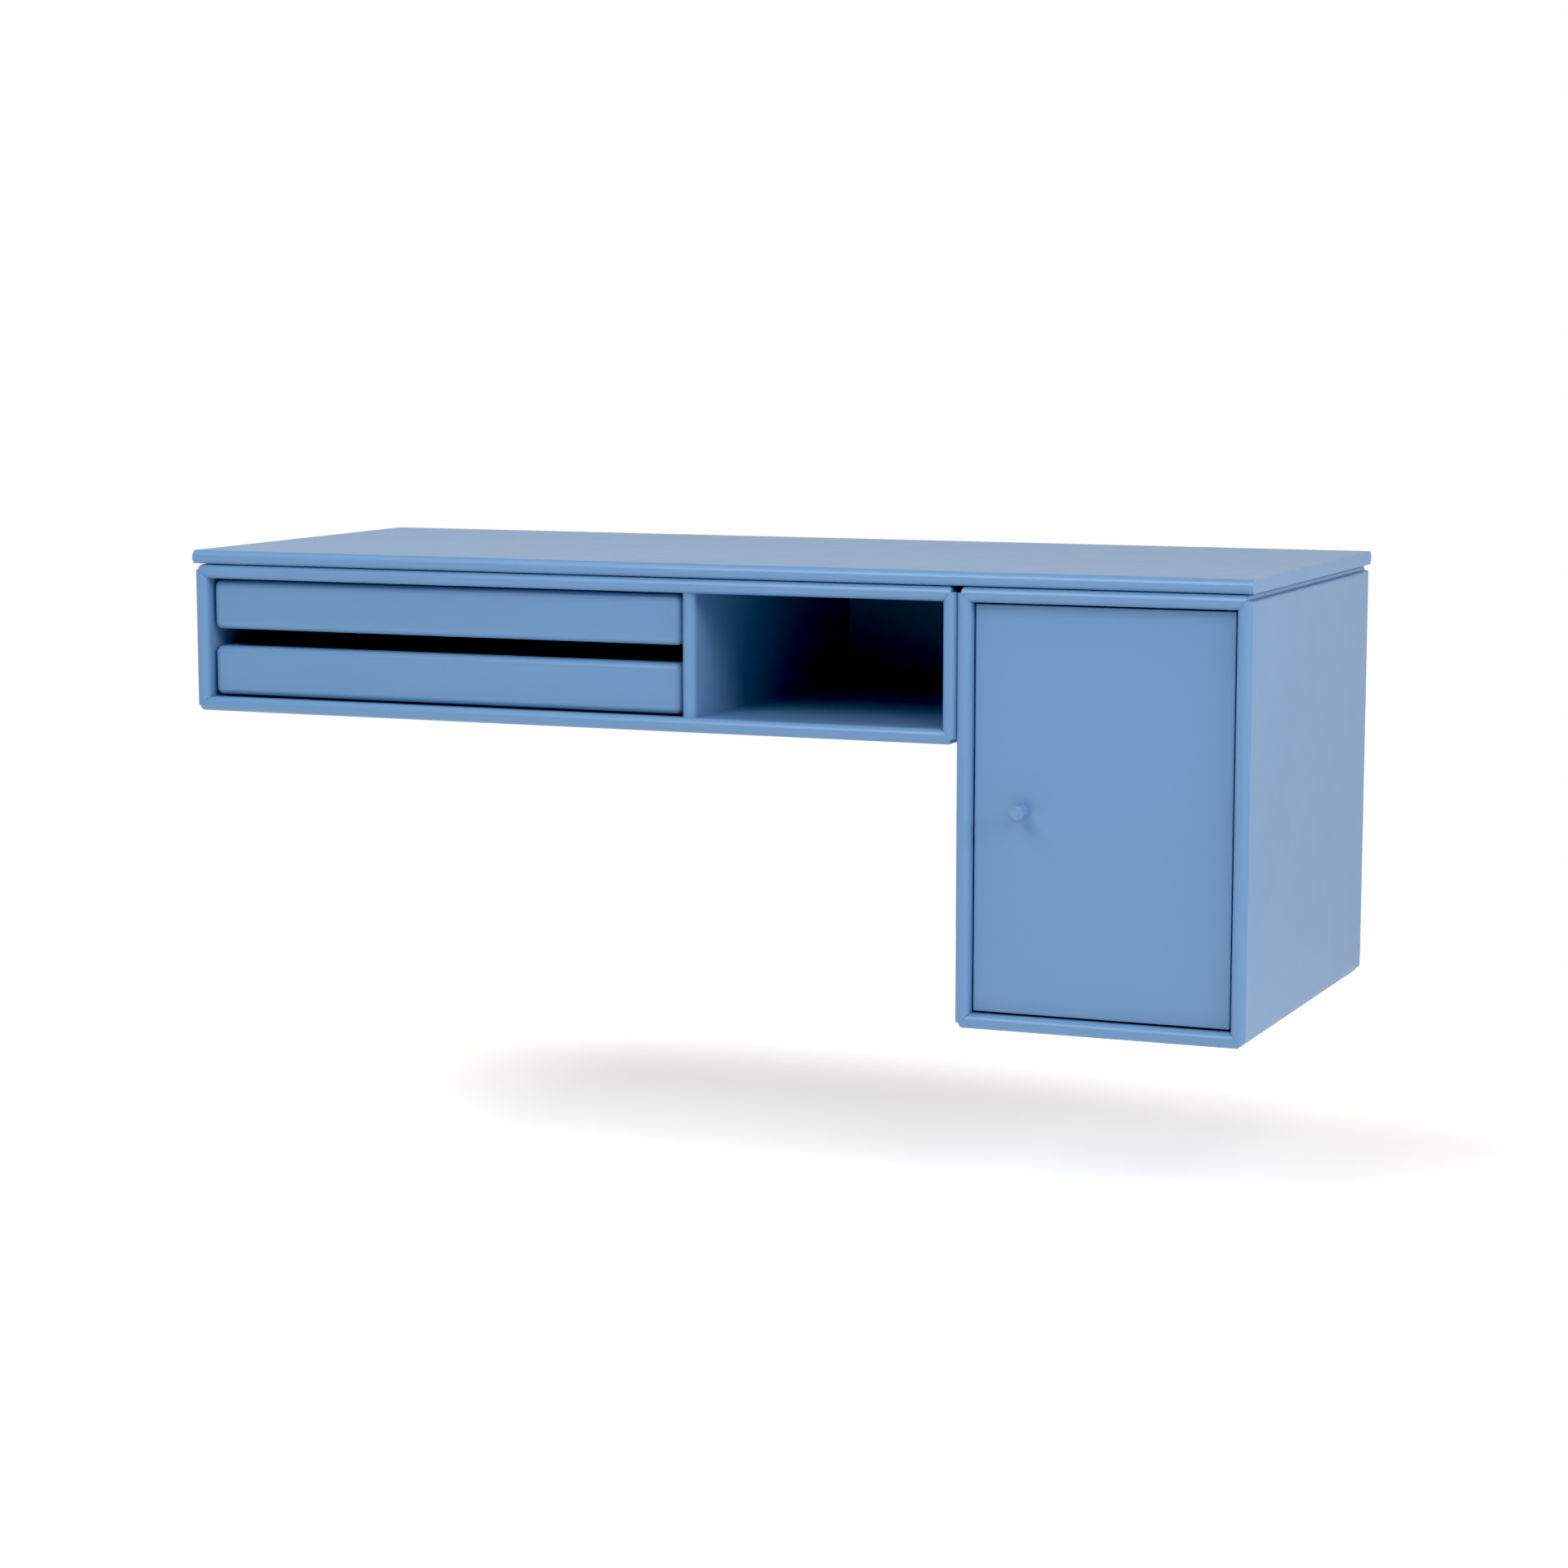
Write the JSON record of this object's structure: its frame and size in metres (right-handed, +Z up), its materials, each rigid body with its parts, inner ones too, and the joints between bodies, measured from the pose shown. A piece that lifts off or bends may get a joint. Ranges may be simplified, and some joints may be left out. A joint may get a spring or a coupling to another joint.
{
  "type": "wall desk",
  "caption": "Wall-hung desk: a slim lacquered top over a low module with two sliding trays and an open niche, beside a taller cupboard with an inset door and a knob.",
  "frame": {"origin": "middle of the wide wall rail's line of screw holes, on the wall plane", "axes": "+X to the right along the wall, -Y out of the wall to the front, +Z up"},
  "size_m": [0.938, 0.386, 0.366],
  "materials": {
    "lacquer": "satin azure blue lacquer on fine fibreboard",
    "steel": "zinc plated",
    "beech": "waxed beech",
    "plastic": "white moulded"
  },
  "bodies": {
    "root": {"desk_top": "lacquer", "wide_top": "lacquer", "wide_bottom": "lacquer", "wide_left_side": "lacquer", "wide_right_side": "lacquer", "wide_divider": "lacquer", "wide_back_panel": "lacquer", "divider_dowels": "beech", "cupboard_top": "lacquer", "cupboard_bottom": "lacquer", "cupboard_left_side": "lacquer", "cupboard_right_side": "lacquer", "cupboard_back_panel": "lacquer", "cupboard_shelf": "lacquer", "shelf_pins": "steel", "frame_pivot_leaves": "steel", "frame_leaf_screws": "steel", "pivot_washers": "plastic", "magnetic_catch": "plastic", "catch_poles": "steel", "catch_screws": "steel", "tray_runners": "beech", "runner_screws": "steel", "desk_top_screws": "steel", "connector_sleeves": "steel", "connector_bolts": "steel", "wide_wall_rail": "steel", "cupboard_wall_rail": "steel", "hanger_blocks": "steel", "hanger_screws": "steel"},
    "door": {"door_panel": "lacquer", "door_knob": "lacquer", "knob_screw": "steel", "door_pivot_leaves": "steel", "door_leaf_screws": "steel", "strike_plate": "steel", "strike_screws": "steel"},
    "upper_tray": {"upper_tray_front": "lacquer", "upper_tray_left_side": "lacquer", "upper_tray_right_side": "lacquer", "upper_tray_back": "lacquer", "upper_tray_floor": "lacquer"},
    "lower_tray": {"lower_tray_front": "lacquer", "lower_tray_left_side": "lacquer", "lower_tray_right_side": "lacquer", "lower_tray_back": "lacquer", "lower_tray_floor": "lacquer"}
  },
  "joints": [
    {"name": "door_hinge", "type": "hinge", "parent": "root", "child": "door", "pos_m": [0.5676, -0.365, -0.127], "axis": [0, 0, 1], "range_deg": [0, 100]},
    {"name": "upper_tray_slide", "type": "slide", "parent": "root", "child": "upper_tray", "axis": [0, -1, 0], "range_m": [0, 0.25]},
    {"name": "lower_tray_slide", "type": "slide", "parent": "root", "child": "lower_tray", "axis": [0, -1, 0], "range_m": [0, 0.25]}
  ]
}
